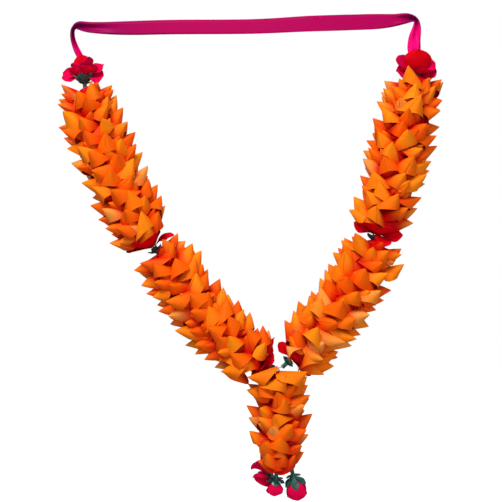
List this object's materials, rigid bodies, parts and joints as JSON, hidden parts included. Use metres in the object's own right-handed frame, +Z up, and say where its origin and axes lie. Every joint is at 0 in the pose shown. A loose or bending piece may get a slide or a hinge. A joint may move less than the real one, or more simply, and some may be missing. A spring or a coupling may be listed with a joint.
{
  "type": "sandalwood garland",
  "caption": "Hanging V-shaped garland of folded wood-shaving cones with fabric flowers, a short pendant and a satin ribbon across the top.",
  "frame": {"origin": "midway between the two bends where the ribbon hangs, in the plane of the strings", "axes": "+Z up, +X to the right as seen from the front, -Y to the front and +Y towards the wall"},
  "size_m": [0.4854, 0.0896, 0.6087],
  "materials": {
    "shavings": "dyed orange wood shaving, matt",
    "petals": "red polyester petal cloth",
    "calyx": "moulded dark green plastic",
    "ribbon": "magenta satin ribbon",
    "thread": "undyed cotton thread"
  },
  "bodies": {
    "root": {"ribbon": "ribbon", "thread_main": "thread", "thread_pendant": "thread", "strand_upper_left": "shavings", "strand_lower_left": "shavings", "strand_upper_right": "shavings", "strand_lower_right": "shavings", "strand_pendant": "shavings", "petals_top_left": "petals", "petals_top_right": "petals", "petals_mid_left": "petals", "petals_mid_right": "petals", "petals_junction_left": "petals", "petals_junction_right": "petals", "petals_pendant_left": "petals", "petals_pendant_middle": "petals", "petals_pendant_right": "petals", "calyx_top_left": "calyx", "calyx_top_right": "calyx", "calyx_mid_left": "calyx", "calyx_mid_right": "calyx", "calyx_junction_left": "calyx", "calyx_junction_right": "calyx", "calyx_pendant_left": "calyx", "calyx_pendant_middle": "calyx", "calyx_pendant_right": "calyx"}
  },
  "joints": []
}
